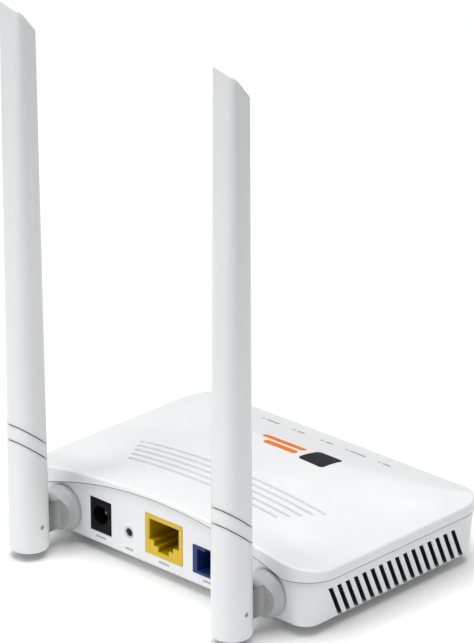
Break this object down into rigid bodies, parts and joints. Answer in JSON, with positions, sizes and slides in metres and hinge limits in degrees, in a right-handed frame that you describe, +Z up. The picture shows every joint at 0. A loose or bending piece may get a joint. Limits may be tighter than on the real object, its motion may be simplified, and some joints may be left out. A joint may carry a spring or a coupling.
{
  "type": "optical network terminal",
  "caption": "Small white desktop fibre terminal with vented sides, rear ports and knuckle-jointed antennas that swivel and tilt, with its circuit board and internals.",
  "frame": {"origin": "middle of the whole outline, on the ground under the rubber feet", "axes": "+X to the right seen from the front, +Y to the rear where the ports and antennas are, +Z up"},
  "size_m": [0.124, 0.1042, 0.1819],
  "materials": {
    "case_plastic": "satin",
    "antenna_plastic": "satin",
    "clip_plastic": "matte",
    "foot_rubber": "matte",
    "label_paper": "satin",
    "screw_steel": "satin",
    "board_laminate": "satin",
    "chip_resin": "matte",
    "sink_aluminium": "satin",
    "pad_silicone": "matte",
    "can_steel": "satin",
    "capacitor_sleeve": "gloss",
    "ceramic_chip": "matte",
    "led_lens": "gloss",
    "pipe_clear": "gloss",
    "jack_yellow": "satin",
    "contact_gold": "gloss",
    "jack_black": "satin",
    "pin_nickel": "gloss",
    "adapter_blue": "satin",
    "coax_jacket": "matte",
    "radiator_brass": "satin"
  },
  "bodies": {
    "case": {"top_cover": "case_plastic", "bottom_case": "case_plastic", "rubber_feet": "foot_rubber", "rating_label": "label_paper", "case_screws": "screw_steel", "board_screws": "screw_steel", "main_board": "board_laminate", "soc_chip": "chip_resin", "memory_chip": "chip_resin", "flash_chip": "chip_resin", "wifi_chip": "chip_resin", "ethernet_transformer": "chip_resin", "regulator_chips": "chip_resin", "power_inductors": "chip_resin", "heat_sink": "sink_aluminium", "thermal_pad": "pad_silicone", "shield_can": "can_steel", "optical_module": "can_steel", "crystals": "can_steel", "coax_connectors": "can_steel", "electrolytic_capacitors": "capacitor_sleeve", "ceramic_capacitors": "ceramic_chip", "adapter_sleeve": "ceramic_chip", "status_leds": "led_lens", "light_pipe": "pipe_clear", "ethernet_jack": "jack_yellow", "ethernet_contacts": "contact_gold", "dc_jack": "jack_black", "reset_switch": "jack_black", "dc_jack_pin": "pin_nickel", "fibre_adapter": "adapter_blue", "board_coax": "coax_jacket"},
    "reset_button": {"reset_plunger": "jack_black"},
    "left_swivel": {"left_knuckle": "antenna_plastic", "left_knuckle_clip": "clip_plastic", "left_knuckle_coax": "coax_jacket"},
    "left_antenna": {"left_antenna_base": "antenna_plastic", "left_antenna_ring": "antenna_plastic", "left_antenna_sleeve": "antenna_plastic", "left_antenna_coax": "coax_jacket", "left_radiator": "radiator_brass", "left_hinge_pins": "screw_steel"},
    "right_swivel": {"right_knuckle": "antenna_plastic", "right_knuckle_clip": "clip_plastic", "right_knuckle_coax": "coax_jacket"},
    "right_antenna": {"right_antenna_base": "antenna_plastic", "right_antenna_ring": "antenna_plastic", "right_antenna_sleeve": "antenna_plastic", "right_antenna_coax": "coax_jacket", "right_radiator": "radiator_brass", "right_hinge_pins": "screw_steel"}
  },
  "joints": [
    {"name": "left_swivel_turn", "type": "hinge", "parent": "case", "child": "left_swivel", "pos_m": [0.044, 0.03008, 0.0113], "axis": [0, 1, 0], "range_deg": [-10, 90]},
    {"name": "left_antenna_tilt", "type": "hinge", "parent": "left_swivel", "child": "left_antenna", "pos_m": [0.044, 0.04578, 0.0113], "axis": [-1, 0, 0], "range_deg": [0, 90]},
    {"name": "right_swivel_turn", "type": "hinge", "parent": "case", "child": "right_swivel", "pos_m": [-0.044, 0.03008, 0.0113], "axis": [0, -1, 0], "range_deg": [-10, 90]},
    {"name": "right_antenna_tilt", "type": "hinge", "parent": "right_swivel", "child": "right_antenna", "pos_m": [-0.044, 0.04578, 0.0113], "axis": [-1, 0, 0], "range_deg": [0, 90]},
    {"name": "reset_press", "type": "slide", "parent": "case", "child": "reset_button", "axis": [0, -1, 0], "range_m": [0, 0.0005], "stiffness_N_per_m": 1500, "springref_m": -0.0005}
  ]
}
